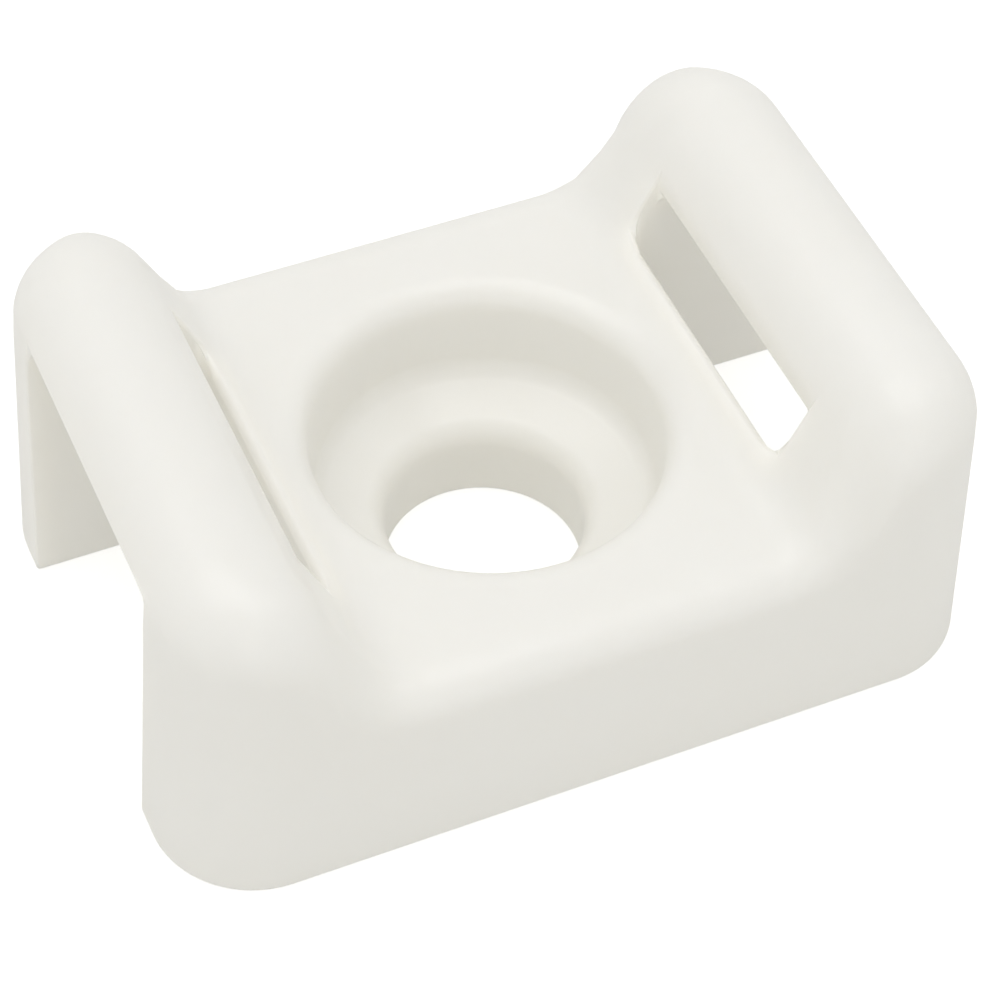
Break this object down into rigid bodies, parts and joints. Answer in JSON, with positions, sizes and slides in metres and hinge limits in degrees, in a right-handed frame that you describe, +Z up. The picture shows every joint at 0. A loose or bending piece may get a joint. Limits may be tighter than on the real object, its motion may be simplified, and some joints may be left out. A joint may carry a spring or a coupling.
{
  "type": "cable tie mount",
  "caption": "Screw-down saddle mount for a cable tie: moulded base with a rounded ridge at each end, tie slots and tunnels through the ridges, and a seated screw hole in the middle.",
  "frame": {"origin": "centre of the flat base, on the surface the mount is screwed to", "axes": "+X along the base from tie slot to tie slot, +Y across it along the ridges and the cable, +Z up, away from the surface"},
  "size_m": [0.022, 0.0154, 0.0095],
  "materials": {
    "nylon": "satin, faintly translucent natural nylon"
  },
  "bodies": {
    "root": {"tie_mount": "nylon"}
  },
  "joints": []
}
